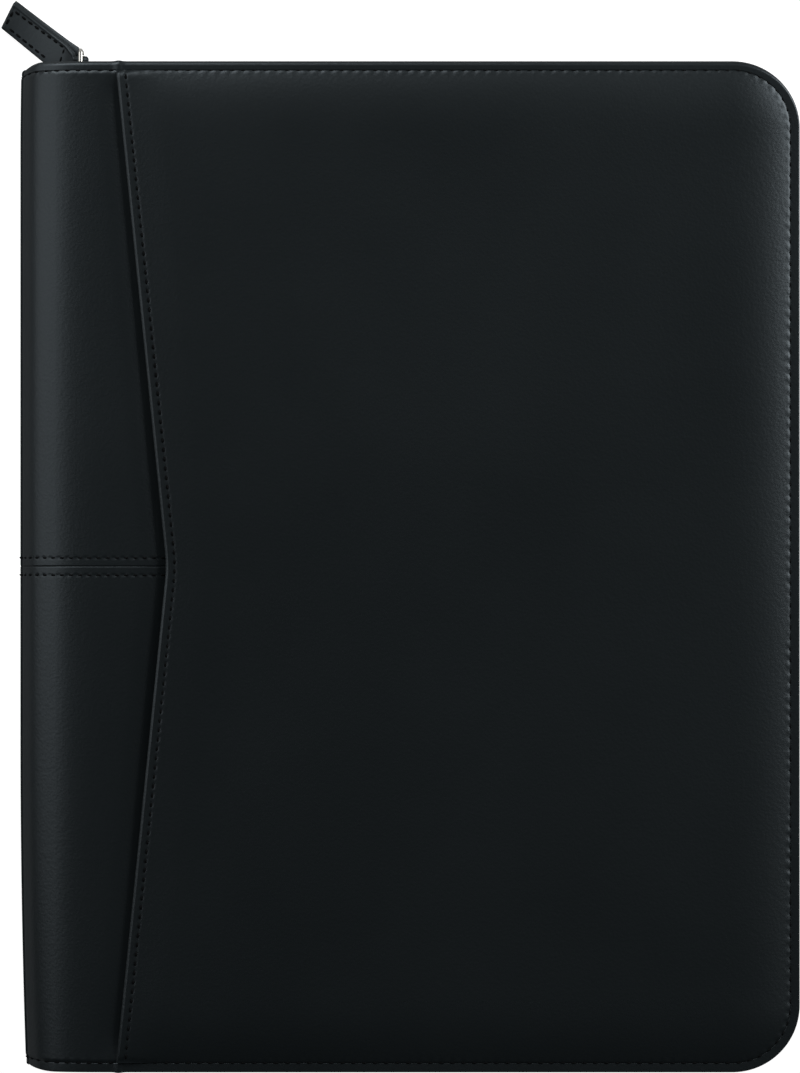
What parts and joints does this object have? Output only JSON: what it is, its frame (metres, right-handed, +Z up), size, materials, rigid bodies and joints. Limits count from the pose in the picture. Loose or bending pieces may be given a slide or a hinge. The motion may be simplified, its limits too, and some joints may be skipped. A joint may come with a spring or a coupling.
{
  "type": "zippered padfolio",
  "caption": "Black leather zippered padfolio with a V-edged front pocket, rolled spine, writing pad, organiser pockets and a leather zip pull.",
  "frame": {"origin": "centre of the back cover's flat resting face", "axes": "+X from the spine to the zip edge, +Y to the top edge, +Z up through the front cover"},
  "size_m": [0.2692, 0.3609, 0.0286],
  "materials": {
    "leather": "smooth satin black leatherette with a fine grain",
    "foam": "thin closed foam padding",
    "grey_board": "pressed grey board",
    "lining": "black woven lining",
    "zip_tape": "black woven zip tape",
    "zip_teeth": "moulded black plastic teeth",
    "metal": "bright nickel plate",
    "paper": "ruled white writing paper",
    "header_tape": "black paper header tape",
    "elastic": "black woven elastic",
    "clear_film": "clear vinyl film"
  },
  "bodies": {
    "back_cover": {"back_panel": "leather", "spine_cover_upper_back": "leather", "spine_cover_lower_back": "leather", "spine_lining_back": "lining", "back_foam": "foam", "back_board": "grey_board", "back_lining": "lining", "back_binding": "leather", "back_zip_tape": "zip_tape", "back_teeth_top": "zip_teeth", "back_teeth_main": "zip_teeth", "back_top_stop": "metal", "bottom_stop": "metal", "pad_sleeve": "leather", "pad_backing_board": "grey_board", "writing_pad": "paper", "pad_header_tape": "header_tape"},
    "spine": {"spine_cover_upper": "leather", "spine_cover_lower": "leather", "spine_lining": "lining", "spine_binding_top": "leather", "spine_binding_bottom": "leather", "pen_loop": "elastic"},
    "front_cover": {"spine_cover_upper_front": "leather", "spine_cover_lower_front": "leather", "spine_lining_front": "lining", "front_pocket_panel": "leather", "front_pocket_back": "leather", "front_foam": "foam", "front_board": "grey_board", "front_lining": "lining", "front_binding": "leather", "front_zip_tape": "zip_tape", "front_teeth_top": "zip_teeth", "front_teeth_main": "zip_teeth", "front_top_stop": "metal", "file_pocket": "leather", "card_pocket_1": "leather", "card_pocket_2": "leather", "card_pocket_3": "leather", "card_window_frame": "leather", "card_window": "clear_film"},
    "zip_slider": {"slider_body": "metal", "slider_bridge": "metal"},
    "pull_ring": {"pull_ring": "metal"},
    "pull_tab": {"pull_tab": "leather"}
  },
  "joints": [
    {"name": "spine_fold", "type": "hinge", "parent": "back_cover", "child": "spine", "pos_m": [-0.12748, 0, 0.00351], "axis": [0, -1, 0], "range_deg": [0, 90]},
    {"name": "cover_fold", "type": "hinge", "parent": "spine", "child": "front_cover", "pos_m": [-0.1262, 0, 0.0238], "axis": [0, -1, 0], "range_deg": [0, 90]},
    {"name": "zip_slide", "type": "slide", "parent": "back_cover", "child": "zip_slider", "axis": [1, 0, 0], "range_m": [0, 0.215], "deforming": ["back_teeth_top", "front_teeth_top"]},
    {"name": "ring_swing", "type": "hinge", "parent": "zip_slider", "child": "pull_ring", "pos_m": [-0.1114, 0.16725, 0.0131], "axis": [0, 0, 1], "range_deg": [-45, 0]},
    {"name": "tab_swing", "type": "hinge", "parent": "pull_ring", "child": "pull_tab", "pos_m": [-0.1114, 0.17175, 0.0097], "axis": [0, 1, 0], "range_deg": [0, 55]}
  ]
}
